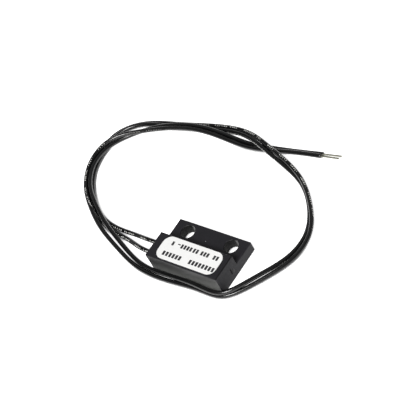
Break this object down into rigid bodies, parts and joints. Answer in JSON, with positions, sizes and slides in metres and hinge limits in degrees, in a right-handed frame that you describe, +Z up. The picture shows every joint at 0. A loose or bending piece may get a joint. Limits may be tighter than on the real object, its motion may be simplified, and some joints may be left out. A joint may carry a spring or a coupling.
{
  "type": "magnetic proximity sensor",
  "caption": "Flange-mount magnetic proximity sensor: a reed switch potted in a moulded L-section housing, with insulated lead wires in a loose loop and tinned ends.",
  "frame": {"origin": "centre of the housing's flat mounting face, on the surface that it rests on; the free wires are left out of the measure", "axes": "+X along the housing, from the end where the wires leave to the closed end; +Y from the tall head to the low flange with the two holes; +Z up from the mounting face to the label"},
  "size_m": [0.0934, 0.0617, 0.0079],
  "materials": {
    "housing_plastic": "injection-moulded black thermoplastic, fine spark-eroded grain on top, smoother on the front wall",
    "label_film": "white polyester label film, satin, with plain grey-black bars in place of print",
    "potting_epoxy": "black epoxy, poured and cured, glossy",
    "reed_glass": "drawn infrared-absorbing glass tube, clear greenish",
    "nickel_iron": "drawn nickel-iron wire, tin plated, satin",
    "contact_plating": "pressed-flat nickel-iron with plated contact face, bright",
    "solder": "tin solder, bright, slightly grainy",
    "wire_insulation": "extruded black vinyl insulation, satin, with fine pale dashes in place of print",
    "tinned_copper": "stranded copper, hot tinned, dull silver-grey"
  },
  "bodies": {
    "sensor": {"housing": "housing_plastic", "label": "label_film", "potting": "potting_epoxy", "reed_glass": "reed_glass", "reed_lead_near": "nickel_iron", "reed_lead_far": "nickel_iron", "solder_near": "solder", "solder_far": "solder", "front_wire_inner": "wire_insulation", "back_wire_inner": "wire_insulation", "front_core_inner": "tinned_copper", "back_core_inner": "tinned_copper", "front_wire": "wire_insulation", "back_wire": "wire_insulation", "front_core_end": "tinned_copper", "back_core_end": "tinned_copper"},
    "blade_near": {"reed_blade_near": "contact_plating"},
    "blade_far": {"reed_blade_far": "contact_plating"}
  },
  "joints": [
    {"name": "near_blade_bend", "type": "hinge", "parent": "sensor", "child": "blade_near", "pos_m": [-0.00449, -0.00185, 0.00357], "axis": [0, 1, 0], "range_deg": [0, 0.6], "stiffness_Nm_per_rad": 0.001},
    {"name": "far_blade_bend", "type": "hinge", "parent": "sensor", "child": "blade_far", "pos_m": [0.00449, -0.00185, 0.00329], "axis": [0, 1, 0], "range_deg": [0, 0.6], "stiffness_Nm_per_rad": 0.001}
  ],
  "couplings": [
    {"joint": "far_blade_bend", "follows": "near_blade_bend", "ratio": 1}
  ]
}
